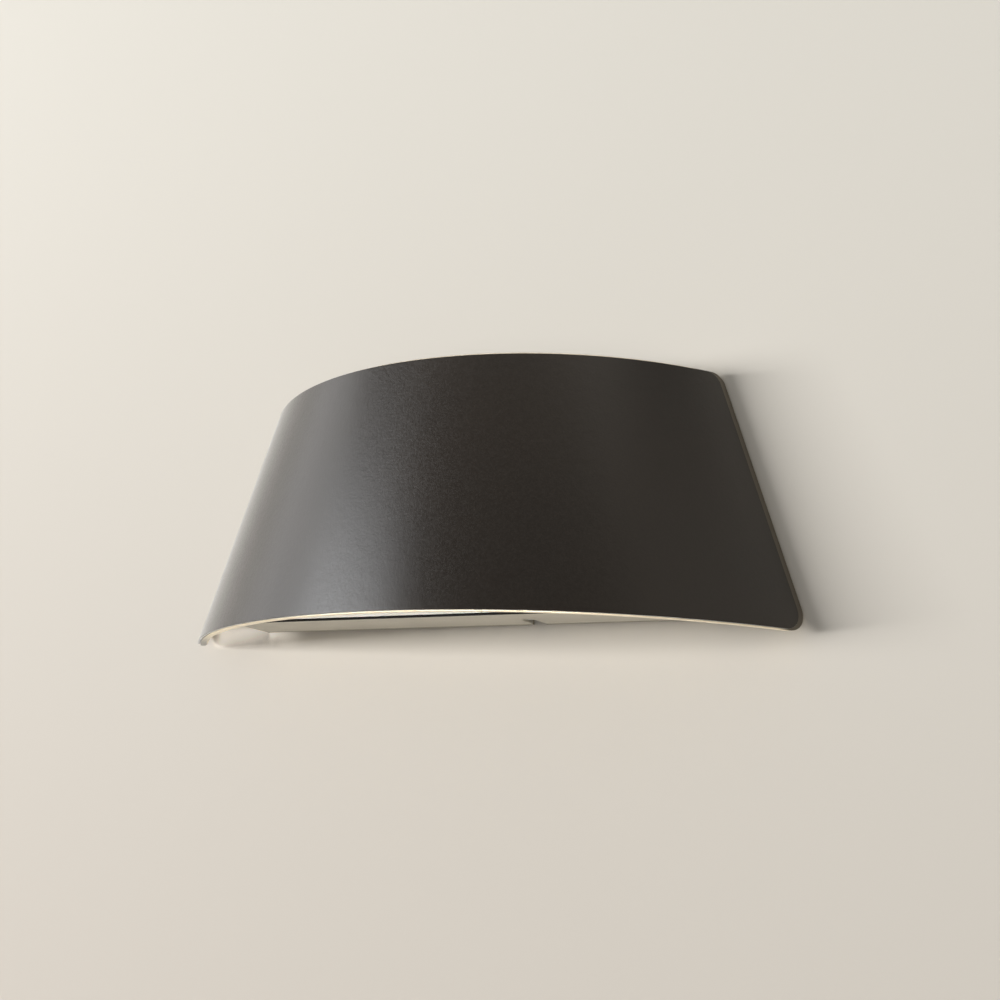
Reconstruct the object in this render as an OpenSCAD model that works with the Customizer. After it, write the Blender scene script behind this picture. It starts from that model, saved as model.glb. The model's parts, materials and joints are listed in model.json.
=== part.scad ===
// Outdoor wall downlight: a curved shade that tapers upwards, in front of a flat back box.
// The wall is the plane y = 0. The light stands out from it towards -Y and shines down.
// The origin is on the wall, midway between the two wall screws.
// Heights in the modules are measured from the lower edge of the shade.

/* [Shade] */
// Width along the lower edge
shade_w = 300; // [290:1:320]
// Width along the upper edge
shade_top_w = 227; // [222:1:236]
// Height
shade_h = 110; // [106:1:124]
// How far the lower edge stands out from the wall
shade_d = 80.5; // [78:0.5:90]
// Thickness of the outer cover
cover_t = 1.2; // [0.8:0.1:1.6]
// Bond line between the cover and the shell
bond_t = 0.2; // [0.15:0.05:0.4]
// Thickness of the inner shell
shell_t = 2.8; // [2:0.1:3.4]
// How far the rim of the shell shows below the cover
rim_low = 0.35; // [0.2:0.05:1.2]
// How far the rim of the shell shows above the cover
rim_top = 0.9; // [0.2:0.05:1.2]
// How far the rim of the shell shows at the two ends of the cover
rim_end = 3.9; // [0.5:0.1:5]
// Radius of the lower corners of the cover
cover_low_r = 9; // [4:0.5:14]
// Radius of the upper corners of the cover
cover_top_r = 4.5; // [3:0.5:10]
// Radius of the lower corners of the shell
shell_low_r = 10; // [3:0.5:13]
// Radius of the upper corners of the shell
shell_top_r = 5; // [3:0.5:8]
// Gap between the ends of the shell and the wall
wall_gap = 0.6; // [0.4:0.1:1.5]

/* [Back box] */
// Distance from the lower corners of the shade to the ends of the box
end_gap = 40.5; // [38:0.5:44]
// Depth of the box, with its gasket
box_d = 27; // [26:0.5:30]
// Height of its underside above the lower edge of the shade
box_lift = 6.6; // [4:0.1:10]
// Wall of the box
box_wall = 2.5; // [2:0.1:3]
// Thickness of the gasket on the wall
gasket_t = 1.5; // [1:0.1:2.5]
// Width of the gasket
gasket_w = 2.2; // [1.8:0.1:2.4]

/* [Wall bracket] */
// Height of the wall screws above the lower edge of the shade
mount_z = 50; // [47:1:54]
// Distance between the two wall screws
slot_pitch = 116; // [108:1:118]
// Width of the slots for the wall screws
slot_w = 4.8; // [4:0.1:6]
// Length of those slots, end to end
slot_l = 12; // [9:0.5:14]
// Width of the bracket
plate_w = 136; // [134:1:140]
// Thickness of the bracket
plate_t = 1.5; // [1:0.1:2]
// Height of the bracket's lower edge above the lower edge of the shade
plate_z0 = 20; // [18:0.5:24]
// Height of the bracket's flat face
plate_h = 70; // [66:1:72]
// Inside radius of its bends
bend_r = 1; // [0.5:0.1:1.5]
// Width of the two upper hooks
hook_w = 20; // [14:1:26]
// Distance between the middles of the hooks
hook_pitch = 90; // [80:1:100]
// How far the hooks and the lock tab reach out from the wall
hook_d = 16; // [14:0.5:18]
// Height of the cable hole above the lower edge of the shade
cable_z = 34; // [32:1:36]
// Radius of the hole in the cable grommet
cable_r = 4; // [3:0.1:5]
// Radius of the hole in the bracket for the grommet
grommet_hole_r = 7; // [6.5:0.1:8]

/* [Lock screw] */
// Distance of the lock screw from the middle of the light
lock_x = 32; // [28:1:40]
// Width of the pocket for its head
pocket_w = 5.8; // [5.6:0.1:7]
// Length of the pocket, from the wall
pocket_l = 14; // [12:0.5:15]
// Depth of the pocket
pocket_h = 3; // [2.6:0.1:3.6]
// Thickness of the box above the pocket
pocket_roof = 2.5; // [2:0.1:3]
// Radius of the screw's thread
lock_r = 1.5; // [1.2:0.1:1.6]
// Radius of the screw's head
lock_head_r = 2.6; // [2.3:0.1:2.7]
// Height of the screw's head
lock_head_h = 2.3; // [1.8:0.1:2.5]

/* [Light engine] */
// Height of the underside of the tray above the lower edge of the shade
tray_z = 38; // [36:1:44]
// Thickness of the tray
tray_t = 2; // [1.5:0.1:2.5]
// Height of the flange that holds the tray to the box
flange_h = 14; // [12:1:16]
// Length of the light-emitting board
board_l = 108; // [96:2:112]
// Width of the board
board_w = 13; // [11:0.5:14]
// Thickness of the board
board_t = 1.6; // [1:0.1:2]
// Number of light-emitting chips
chips = 8; // [6:1:9]
// Side of a chip
chip_w = 3.5; // [2.8:0.1:5]
// Thickness of a chip
chip_t = 0.8; // [0.5:0.1:1.2]
// Height of the underside of the baffle above the lower edge of the shade
baffle_z = 24; // [20:0.5:26]
// Thickness of the baffle
baffle_t = 2.5; // [2:0.1:3]
// Height of the black strip along the foot of the box
skirt_h = 1.1; // [0.8:0.1:3]
// Thickness of that strip and of the white liner above it
skirt_t = 0.8; // [0.6:0.1:2]
// Gap between the box and the light chamber
chamber_gap = 3.5; // [3:0.1:4.5]
// Wall of the light chamber
chamber_wall = 2; // [1.5:0.1:2.5]
// Thickness of the diffuser
lens_t = 2.5; // [2:0.1:3]
// Thickness of the gasket under the diffuser
lens_seal_t = 1; // [0.8:0.1:1.5]
// Width of the ledge that the diffuser rests on
ledge_w = 3; // [2.5:0.1:4]
// Thickness of the reflector
reflector_t = 1.2; // [1:0.1:1.6]
// Angle between the lugs that hold the tray, about the middle of the shade's arc
tray_lug_angle = 26; // [24:1:28]

/* [Cap] */
// Depth of the cap below the upper edge of the shade
cap_recess = 4.3; // [3:0.1:7]
// Thickness of the cap
cap_t = 2; // [1.5:0.1:3]
// Angle between the lugs that hold the cap
cap_lug_angle = 22; // [18:1:26]

/* [Electrical parts] */
// Length of the driver
driver_l = 104; // [96:1:108]
// Height of the driver
driver_h = 32; // [28:1:34]
// Depth of the driver
driver_d = 16; // [14:0.5:16.5]
// Height of the underside of the driver above the lower edge of the shade
driver_z = 56; // [54:1:58]
// Length of the ears at the ends of the driver
ear_l = 7; // [6:0.5:8]
// Width of one pole of the terminal block
pole_w = 9; // [8:0.5:10]
// Number of poles
poles = 3; // [2:1:3]
// Radius of a lead over its insulation
lead_r = 1.1; // [0.8:0.1:1.3]

/* [Fasteners and fits] */
// Radius of the thread of the screws
screw_r = 1.5; // [1.3:0.1:1.7]
// Radius of their heads
head_r = 2.8; // [2.5:0.1:3]
// Height of their heads
head_h = 1.9; // [1.5:0.1:2.2]
// Length of the screws of the tray, the cap and its lugs
tray_screw_l = 8; // [7:0.5:9]
// Length of the screws that hold the tray's flange and the cap to the box
box_screw_l = 6.5; // [5:0.5:8]
// Length of the screws of the driver
driver_screw_l = 10; // [8:0.5:12]
// Length of the screws of the cord clamp
clamp_screw_l = 8; // [6:0.5:9]
// Play round a screw in the sheet that it holds
hole_play = 0.25; // [0.1:0.05:0.4]
// Play round a screw in its thread
thread_play = 0.04; // [0.02:0.01:0.08]
// Gap between the light engine or cap and the inside of the shell
shell_play = 0.5; // [0.3:0.1:0.9]
// Gap between a lug and the inside of the shell
lug_play = 0.25; // [0.2:0.05:0.4]
// Gap between the bracket and the box that hangs on it
seat_play = 0.3; // [0.2:0.05:0.5]
// Gap between parts that fit inside one another
fit_play = 0.2; // [0.1:0.05:0.4]

/* [Smoothness] */
// Facets across the shade
across = 36; // [24:2:48]
// Facets round each corner of the shade
corner_steps = 5; // [3:1:8]

/* [Hidden] */
$fn = 48;
bronze = [0.21, 0.19, 0.16];
champagne = [0.78, 0.70, 0.56];
beige = [0.64, 0.61, 0.53];
black = [0.05, 0.05, 0.05];
zinc = [0.72, 0.73, 0.74];
brass = [0.80, 0.66, 0.34];

// The shade is part of a cone that leans: each level is an arc, and all levels share one apex
// in the plane of the wall, so its two ends lie against the wall over their whole height.
foot_r = (shade_w * shade_w / 4 + shade_d * shade_d) / (2 * shade_d);
foot_c = foot_r - shade_d;
plate_depth = cover_t + bond_t + shell_t;
side_slope = (shade_w - shade_top_w) / 2 / shade_h;
side_lean = atan(side_slope);
function level(z) = 1 - (1 - shade_top_w / shade_w) * z / shade_h;
function arc_r(z, t) = foot_r * level(z) - t;
function arc_c(z) = foot_c * level(z);
function end_angle(z, t, gap) = acos((arc_c(z) + gap) / arc_r(z, t));
function on_shade(z, a, t) = [arc_r(z, t) * sin(a), arc_c(z) - arc_r(z, t) * cos(a), z];
// How fast the surface moves outwards with height, along the radius at angle a
function lean_at(a) = (level(1) - level(0)) * (foot_r - foot_c * cos(a));

// The box narrows upwards with the shade
cap_z = shade_h - cap_recess - cap_t;
box_top = cap_z;
function box_half(z) = shade_w / 2 - end_gap - side_slope * (z - box_lift);
box_front = -box_d;
box_inner = -box_d + box_wall;

// Lock screw
lock_y = -(pocket_l - pocket_w / 2);
lock_top = box_lift + pocket_h + pocket_roof;
tab_z = lock_top + seat_play;
lock_tab_w = 20;
lock_boss_w = pocket_w + 2 * box_wall + 1.2;
lock_head_z = box_lift + pocket_h - 0.1;
lock_socket_r = 1.25;
lock_socket_h = 1.4;

// Wall bracket
hook_top = box_top - box_wall - seat_play;
plate_z1 = plate_z0 + plate_h;
earth_x = -50;
earth_z = 29;
earth_r = 2;
earth_head_r = 3.6;
earth_head_h = 2.6;
washer_r = 4.5;
washer_t = 0.8;
grommet_flange_r = grommet_hole_r + 2.4;
grommet_flange_t = 2;

// Light engine
tray_top = tray_z + tray_t;
chamber_l = board_l + 8;
chamber_w = board_w + 7;
led_y = box_front - chamber_gap - chamber_w / 2;
window_l = chamber_l - 2 * chamber_wall - 2 * ledge_w;
window_w = chamber_w - 2 * chamber_wall - 2 * ledge_w;
lens_z = baffle_z + baffle_t + lens_seal_t;
flange_y = box_front - tray_t;
flange_half = arc_x(tray_top + flange_h, flange_y) - 6;
function arc_x(z, y) = sqrt(pow(arc_r(z, plate_depth), 2) - pow(arc_c(z) - y, 2));
flange_screw_z = tray_top + flange_h * 0.6;
flange_screw_x = 78;
post_r = 3.2;
rear_post = [box_half(tray_z) - 3 * post_r, box_front - 2.2 * post_r];
front_post = [board_l / 4, led_y - chamber_w / 2 - 1.4 * post_r];
board_screw_x = board_l / 2 - 5;
chip_pitch = (board_l - 30) / (chips - 1);
lead_hole_r = 3.8;
lead_drop_x = 13 - board_l / 2;
lead_drop_y = led_y + 2;

// Lugs that join the shell to the tray and the cap
lug_w = 13;
lug_d = 10;
lug_h = 10;
lug_screw_in = 5.5;
lug_angles = [-tray_lug_angle, 0, tray_lug_angle];
cap_lug_angles = [-cap_lug_angle, 0, cap_lug_angle];
cap_screw_x = (hook_pitch - hook_w) / 2 - 15;

// Driver and leads
driver_y = box_inner + driver_d;
driver_x = 0;
ear_t = 3;
pole_x0 = 22;
block_l = poles * pole_w;
block_z = 20;
block_h = 16;
block_d = 14;
clamp_x = -28;
clamp_z = 24;
clamp_l = 30;
clamp_w = 9;
clamp_t = 3.2;
clamp_rise = 6;
clamp_screw_dx = 11;
lead_port_x = -(driver_l / 2 + 22);
lead_port_z = 62;
lead_port_r = 4;
lead_pitch = 2 * lead_r + 0.4;
lead_bore_r = lead_pitch / 2 + lead_r + 0.5;
lead_end = 0.3;
lead_slack = 10;
lead_entry_x = 6;
lead_entry_z = 7;
pole_bore_y = 5.5;
clamp_bore = 2.4;
lead_steps = 6;
lead_sides = 8;

module on_wall() {
    translate([0, 0, -mount_z]) children();
}

// A flat outline in X and Z, from depth y0 out to y1
module slab(y0, y1) {
    translate([0, y1, 0]) rotate([90, 0, 0]) linear_extrude(y1 - y0) children();
}

// A flat outline in X and Y, from height z0 up to z1
module layer(z0, z1) {
    translate([0, 0, z0]) linear_extrude(z1 - z0) children();
}

module round_rect(w, h, r) {
    square([w - 2 * r, h], center = true);
    square([w, h - 2 * r], center = true);
    for (x = [-1, 1], y = [-1, 1])
        translate([x * (w / 2 - r), y * (h / 2 - r)]) circle(r);
}

module slot_2d(w, l) {
    square([l - w, w], center = true);
    for (x = [-1, 1]) translate([x * (l - w) / 2, 0]) circle(w / 2);
}

// A bent strip seen from its end: one leg along X, the other along Y
module bend_2d(a, b, t, r) {
    translate([r + t, 0]) square([a - r - t, t]);
    translate([0, r + t]) square([t, b - r - t]);
    intersection() {
        translate([r + t, r + t]) difference() {
            circle(r + t);
            circle(r);
        }
        square(r + t);
    }
}

// A bent strip that comes out of the wall plane by a and stands b high
module bent_strip(w, a, b, t, r) {
    rotate([90, 0, -90]) linear_extrude(w, center = true) bend_2d(a, b, t, r);
}

// A pan-head screw: the head stands on z = 0 and the shank hangs below it
module screw(r, l, hr, hh) {
    difference() {
        union() {
            cylinder(r = hr, h = hh * 0.55);
            translate([0, 0, hh * 0.55]) cylinder(r1 = hr, r2 = hr * 0.72, h = hh * 0.45);
            translate([0, 0, -l]) cylinder(r = r, h = l + 0.01);
        }
        translate([0, 0, hh * 0.4]) cylinder(r = r * 0.62, h = hh);
    }
}

module screw_up() { rotate([180, 0, 0]) children(); }
module screw_to_wall() { rotate([90, 0, 0]) children(); }

// The inside of the shell at one level, in front of the line y = back
module inner_segment(z, play, back) {
    intersection() {
        translate([0, arc_c(z)]) circle(arc_r(z, plate_depth) - play, $fn = 120);
        translate([-shade_w / 2, -shade_d]) square([shade_w, shade_d + back]);
    }
}

// Rows of a curved plate: height and how far its end draws in at each corner row
function low_row(z0, r, j) = let (a = 90 * j / corner_steps) [z0 + r * (1 - cos(a)), r * (1 - sin(a))];
function top_row(z1, r, j) = let (a = 90 * j / corner_steps) [z1 - r * (1 - sin(a)), r * (1 - cos(a))];
function plate_rows(z0, z1, r0, r1) = concat(
    [for (j = [0 : corner_steps]) low_row(z0, r0, j)],
    [for (j = [0 : corner_steps]) top_row(z1, r1, j)]
);
function row_points(row, t, gap) =
    let (half = end_angle(row[0], t, gap) - row[1] / arc_r(row[0], t) * 180 / PI)
    [for (i = [0 : across]) on_shade(row[0], half * (2 * i / across - 1), t)];
function two_triangles(a, b, c, d) = [[a, b, c], [a, c, d]];
function flat_list(l) = [for (a = l) for (b = a) b];

// A plate between depths t0 and t1 under the shade's surface, with rounded corners
module curved_plate(t0, t1, z0, z1, gap, r0, r1) {
    rows = plate_rows(z0, z1, r0, r1);
    last = len(rows) - 1;
    n = across + 1;
    m = n * (last + 1);
    points = flat_list([for (t = [t0, t1]) flat_list([for (row = rows) row_points(row, t, gap)])]);
    outer = [for (j = [0 : last - 1], i = [0 : across - 1])
        two_triangles(j * n + i, (j + 1) * n + i, (j + 1) * n + i + 1, j * n + i + 1)];
    inner = [for (j = [0 : last - 1], i = [0 : across - 1])
        two_triangles(m + j * n + i, m + j * n + i + 1, m + (j + 1) * n + i + 1, m + (j + 1) * n + i)];
    low = [for (i = [0 : across - 1]) two_triangles(i, i + 1, m + i + 1, m + i)];
    top = [for (i = [0 : across - 1]) let (k = last * n + i)
        two_triangles(k + 1, k, m + k, m + k + 1)];
    left = [for (j = [0 : last - 1]) two_triangles((j + 1) * n, j * n, m + j * n, m + (j + 1) * n)];
    right = [for (j = [0 : last - 1]) let (k = j * n + across)
        two_triangles(k, k + n, m + k + n, m + k)];
    polyhedron(points, flat_list(concat(outer, inner, low, top, left, right)));
}

// A lug with one face that leans with the inside of the shell, at angle a, between two heights
module lug(a, z0, z1) {
    r0 = arc_r(z0, plate_depth) - lug_play;
    r1 = r0 + lean_at(a) * (z1 - z0);
    translate([0, arc_c(z0), 0]) rotate([0, 0, a]) rotate([90, 0, -90])
        linear_extrude(lug_w, center = true)
            polygon([[r0 - lug_d, z0], [r0, z0], [r1, z1], [r0 - lug_d, z1]]);
}

// Where the screw of a lug is, at height z
module at_lug(a, z) {
    translate([0, arc_c(z), 0]) rotate([0, 0, a])
        translate([0, lug_screw_in - arc_r(z, plate_depth), z]) children();
}

// Smooth curve through hand-set points, and a round lead swept along it
function spline(a, b, c, d, t) = 0.5 * (2 * b + (c - a) * t + (2 * a - 5 * b + 4 * c - d) * t * t
    + (3 * b - a - 3 * c + d) * t * t * t);
function route(p) = let (q = concat([2 * p[0] - p[1]], p, [2 * p[len(p) - 1] - p[len(p) - 2]]))
    concat([for (i = [1 : len(q) - 3], s = [0 : lead_steps - 1])
        spline(q[i - 1], q[i], q[i + 1], q[i + 2], s / lead_steps)], [p[len(p) - 1]]);
function unit(v) = v / norm(v);
function heading(c, i) = unit(c[min(i + 1, len(c) - 1)] - c[max(i - 1, 0)]);
function ring(c, i, r, side) = let (w = heading(c, i), u = unit(cross(w, side)), v = cross(w, u))
    [for (k = [0 : lead_sides - 1]) let (a = 360 * k / lead_sides) c[i] + r * (cos(a) * u + sin(a) * v)];
module lead(p, r, side) {
    c = route(p);
    n = lead_sides;
    last = len(c) - 1;
    points = flat_list([for (i = [0 : last]) ring(c, i, r, side)]);
    skin = [for (i = [0 : last - 1], k = [0 : n - 1])
        two_triangles(i * n + k, (i + 1) * n + k, (i + 1) * n + (k + 1) % n, i * n + (k + 1) % n)];
    start = [[for (k = [0 : n - 1]) k]];
    finish = [[for (k = [0 : n - 1]) last * n + n - 1 - k]];
    polyhedron(points, concat(flat_list(skin), start, finish));
}

module box_outline(inset) {
    side = inset / cos(side_lean);
    z0 = box_lift + inset;
    z1 = box_top - inset;
    polygon([
        [-box_half(z0) + side, z0],
        [box_half(z0) - side, z0],
        [box_half(z1) - side, z1],
        [-box_half(z1) + side, z1]
    ]);
}

// The pocket and slot of the lock screw, open towards the wall
module lock_slot(w, z0, z1) {
    layer(z0, z1) translate([lock_x, 0]) {
        translate([0, lock_y]) circle(w / 2);
        translate([-w / 2, lock_y]) square([w, 1 - lock_y]);
    }
}

module wall_bracket() {
    color(zinc) on_wall() difference() {
        union() {
            slab(-plate_t, 0) translate([0, plate_z0 + plate_h / 2]) round_rect(plate_w, plate_h, 4);
            for (s = [-1, 1]) translate([s * hook_pitch / 2, 0, hook_top]) mirror([0, 0, 1])
                bent_strip(hook_w, hook_d, hook_top - plate_z1 + 3, plate_t, bend_r);
            translate([lock_x, 0, tab_z])
                bent_strip(lock_tab_w, hook_d, plate_z0 - tab_z + 3, plate_t, bend_r);
        }
        slab(-plate_t - 1, 1) {
            for (s = [-1, 1]) translate([s * slot_pitch / 2, mount_z]) slot_2d(slot_w, slot_l);
            translate([0, cable_z]) circle(grommet_hole_r);
            translate([earth_x, earth_z]) circle(earth_r + thread_play);
        }
        translate([lock_x, lock_y, tab_z - 1]) cylinder(r = lock_r + thread_play, h = plate_t + 2);
    }
}

module cable_grommet() {
    neck_r = grommet_hole_r - fit_play;
    color(black) on_wall() translate([0, 0, cable_z]) rotate([90, 0, 0])
        rotate_extrude() polygon([
            [cable_r, 0.2],
            [neck_r, 0.2],
            [neck_r, plate_t],
            [grommet_flange_r, plate_t],
            [grommet_flange_r - 0.6, plate_t + grommet_flange_t],
            [cable_r, plate_t + grommet_flange_t]
        ]);
}

module earth_screw() {
    color(brass) on_wall() translate([earth_x, -plate_t, earth_z]) rotate([90, 0, 0]) difference() {
        union() {
            cylinder(r = washer_r, h = washer_t);
            translate([0, 0, washer_t]) cylinder(r = earth_head_r, h = earth_head_h);
            translate([0, 0, -plate_t + 0.2]) cylinder(r = earth_r, h = plate_t);
        }
        translate([-earth_head_r - 1, -0.5, washer_t + earth_head_h - 1])
            cube([2 * earth_head_r + 2, 1, 2]);
    }
}

module lock_screw() {
    color(zinc) on_wall() translate([lock_x, lock_y, lock_head_z]) difference() {
        union() {
            translate([0, 0, -lock_head_h]) cylinder(r = lock_head_r, h = lock_head_h);
            translate([0, 0, -0.01]) cylinder(r = lock_r, h = tab_z + plate_t + 2 - lock_head_z);
        }
        translate([0, 0, -lock_head_h - 1]) cylinder(r = lock_socket_r, h = lock_socket_h + 1, $fn = 6);
    }
}

module back_box() {
    screw_hole = screw_r + thread_play;
    color(beige) on_wall() difference() {
        union() {
            difference() {
                slab(box_front, -gasket_t) box_outline(0);
                slab(box_inner, 1) box_outline(box_wall);
            }
            translate([lock_x - lock_boss_w / 2, lock_y - pocket_w / 2 - box_wall, box_lift])
                cube([lock_boss_w, pocket_l + box_wall - gasket_t, pocket_h + pocket_roof]);
            driver_posts() cylinder(r = post_r, h = driver_d - ear_t);
            clamp_posts() cylinder(r = post_r, h = clamp_rise);
        }
        lock_slot(pocket_w, box_lift - 1, box_lift + pocket_h);
        lock_slot(2 * lock_r + 0.4, box_lift, lock_top + 1);
        driver_posts() translate([0, 0, 1]) cylinder(r = screw_hole, h = driver_d);
        clamp_posts() translate([0, 0, 1]) cylinder(r = screw_hole, h = clamp_rise);
        for (x = [-flange_screw_x, 0, flange_screw_x])
            translate([x, box_inner + 1, flange_screw_z]) rotate([90, 0, 0])
                cylinder(r = screw_hole, h = box_wall + 2);
        cap_points() translate([0, 0, box_top - box_wall - 1]) cylinder(r = screw_hole, h = box_wall + 2);
        translate([lead_port_x, box_inner + 1, lead_port_z]) rotate([90, 0, 0])
            cylinder(r = lead_port_r, h = box_wall + 2);
    }
}

// Posts on the inside of the front wall, pointing at the wall
module driver_posts() {
    for (s = [-1, 1])
        translate([driver_x + s * (driver_l / 2 + ear_l / 2), box_inner, driver_z + driver_h / 2])
            rotate([-90, 0, 0]) children();
}

module clamp_posts() {
    for (s = [-1, 1])
        translate([clamp_x + s * clamp_screw_dx, box_inner, clamp_z]) rotate([-90, 0, 0]) children();
}

module box_gasket() {
    color(black) on_wall() difference() {
        slab(-gasket_t, -0.1) difference() {
            box_outline(0);
            box_outline(gasket_w);
        }
        lock_slot(pocket_w, box_lift - 1, lock_top + 1);
    }
}

module driver() {
    color([0.88, 0.88, 0.86]) on_wall() translate([driver_x, 0, driver_z]) difference() {
        union() {
            slab(box_inner, driver_y) translate([0, driver_h / 2]) round_rect(driver_l, driver_h, 2);
            slab(driver_y - ear_t, driver_y)
                translate([0, driver_h / 2]) round_rect(driver_l + 2 * ear_l, driver_h * 0.45, 3);
        }
        slab(driver_y - ear_t - 1, driver_y + 1) for (s = [-1, 1])
            translate([s * (driver_l / 2 + ear_l / 2), driver_h / 2]) circle(screw_r + hole_play);
        slab(driver_y - 0.8, driver_y + 1)
            for (s = [-1, 1]) translate([s * driver_l * 0.3, driver_h / 2])
                round_rect(driver_l * 0.25, driver_h * 0.6, 2);
    }
}

module driver_screws() {
    color(zinc) on_wall() driver_posts() translate([0, 0, driver_d])
        screw(screw_r, driver_screw_l, head_r, head_h);
}

module terminal_block() {
    y0 = box_inner;
    color([0.93, 0.92, 0.88]) on_wall() translate([pole_x0, 0, block_z]) difference() {
        union() {
            slab(y0, y0 + 3) translate([block_l / 2, block_h / 2]) square([block_l, block_h], center = true);
            for (i = [0 : poles - 1]) translate([(i + 0.5) * pole_w, 0, 0]) {
                slab(y0, y0 + block_d - 4) translate([0, block_h / 2])
                    square([pole_w - 1.4, block_h], center = true);
                for (z = [block_h * 0.27, block_h * 0.73])
                    translate([0, y0 + 3, z]) rotate([-90, 0, 0]) cylinder(r = 3.1, h = block_d - 3);
            }
        }
        for (i = [0 : poles - 1]) translate([(i + 0.5) * pole_w, 0, 0]) {
            translate([0, y0 + pole_bore_y, -1]) cylinder(r = 1.6, h = block_h + 2);
            for (z = [block_h * 0.27, block_h * 0.73])
                translate([0, y0 + pole_bore_y, z]) rotate([-90, 0, 0]) cylinder(r = 1.9, h = block_d);
        }
    }
}

module terminal_screws() {
    color(brass) on_wall() for (i = [0 : poles - 1], z = [block_h * 0.27, block_h * 0.73])
        translate([pole_x0 + (i + 0.5) * pole_w, box_inner + 8, block_z + z]) rotate([-90, 0, 0])
            difference() {
                cylinder(r = 1.7, h = block_d - 11);
                translate([-3, -0.3, block_d - 12]) cube([6, 0.6, 2]);
            }
}

module cord_clamp() {
    color(black) on_wall() translate([clamp_x, 0, clamp_z]) difference() {
        slab(box_inner + clamp_rise, box_inner + clamp_rise + clamp_t) round_rect(clamp_l, clamp_w, 2);
        slab(box_inner, box_inner + clamp_rise + clamp_t + 1)
            for (s = [-1, 1]) translate([s * clamp_screw_dx, 0]) circle(screw_r + hole_play);
        translate([0, box_inner + clamp_rise - clamp_bore, -clamp_w]) cylinder(r = 4, h = 2 * clamp_w);
    }
}

module clamp_screws() {
    color(zinc) on_wall() clamp_posts()
        translate([0, 0, clamp_rise + clamp_t]) screw(screw_r, clamp_screw_l, head_r, head_h);
}

module supply_leads() {
    color([0.45, 0.30, 0.18]) on_wall() for (i = [0, 1]) {
        x = pole_x0 + (i + 0.5) * pole_w;
        y = box_inner + pole_bore_y - 2.5 * lead_r + i * 1.6 * lead_pitch;
        lead([
            [x, box_inner + pole_bore_y, block_z + block_h - 3],
            [x, box_inner + pole_bore_y, block_z + block_h + 0.4 * lead_slack],
            [x + lead_slack, y + 2, driver_z - 8 - i * 3],
            [driver_l / 2 + ear_l + 3, y, driver_z - 3 - i * 3],
            [driver_l / 2 + ear_l + lead_entry_x, y, driver_z + 0.7 * lead_entry_z],
            [driver_l / 2 + lead_entry_x, y, driver_z + lead_entry_z],
            [driver_l / 2 + lead_end, y, driver_z + lead_entry_z]
        ], lead_r, [0, 1, 0]);
    }
}

module lead_grommet() {
    color(black) on_wall() translate([lead_port_x, box_front, lead_port_z]) rotate([-90, 0, 0])
        rotate_extrude() polygon([
            [lead_bore_r, -1.2],
            [lead_port_r + 1.2, -1.2],
            [lead_port_r + 1.2, 0],
            [lead_port_r - fit_play, 0],
            [lead_port_r - fit_play, box_wall],
            [lead_bore_r, box_wall]
        ]);
}

module led_leads() {
    color([0.75, 0.12, 0.10]) on_wall() for (i = [0, 1]) {
        z = lead_port_z + (i - 0.5) * lead_pitch;
        x = lead_port_x;
        lead([
            [-driver_l / 2 - lead_end, box_inner + 10, z + 2],
            [-driver_l / 2 - lead_entry_x, box_inner + 10, z + 2],
            [x + 3, box_inner + 8, z + 0.6],
            [x, box_inner + 2, z],
            [x, box_front - 3, z],
            [x + 2, box_front - 8, z - 6],
            [lead_drop_x + (i - 0.5) * lead_pitch, lead_drop_y, tray_top + 5],
            [lead_drop_x + (i - 0.5) * lead_pitch, lead_drop_y, tray_z + lead_end]
        ], lead_r, [1, 0.15, 0.1]);
    }
}

module shade_cover() {
    color(bronze) on_wall() curved_plate(0, cover_t, rim_low, shade_h - rim_top,
        wall_gap + rim_end, cover_low_r, cover_top_r);
}

module shade_shell() {
    color(champagne) on_wall() curved_plate(cover_t + bond_t, plate_depth, 0, shade_h,
        wall_gap, shell_low_r, shell_top_r);
}

module shade_lugs() {
    color(champagne) on_wall() {
        for (a = lug_angles) difference() {
            lug(a, tray_top, tray_top + lug_h);
            at_lug(a, tray_top) translate([0, 0, -1]) cylinder(r = screw_r + thread_play, h = lug_h - 1);
        }
        for (a = cap_lug_angles) difference() {
            lug(a, cap_z - lug_h, cap_z);
            at_lug(a, cap_z) translate([0, 0, 2 - lug_h]) cylinder(r = screw_r + thread_play, h = lug_h);
        }
    }
}

module top_cap() {
    color(bronze) on_wall() difference() {
        layer(cap_z, cap_z + cap_t) inner_segment(cap_z + cap_t, shell_play, -wall_gap);
        for (a = cap_lug_angles) at_lug(a, cap_z) translate([0, 0, -1])
            cylinder(r = screw_r + hole_play, h = cap_t + 2);
        cap_points() translate([0, 0, cap_z - 1]) cylinder(r = screw_r + hole_play, h = cap_t + 2);
    }
}

// The screws that hold the cap to the top of the box, between the hooks of the bracket
module cap_points() {
    for (s = [-1, 1]) translate([s * cap_screw_x, box_front / 2, 0]) children();
}

module cap_screws() {
    color(zinc) on_wall() {
        for (a = cap_lug_angles) at_lug(a, cap_z) translate([0, 0, cap_t])
            screw(screw_r, tray_screw_l, head_r, head_h);
        cap_points() translate([0, 0, cap_z + cap_t]) screw(screw_r, box_screw_l, head_r, head_h);
    }
}

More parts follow.
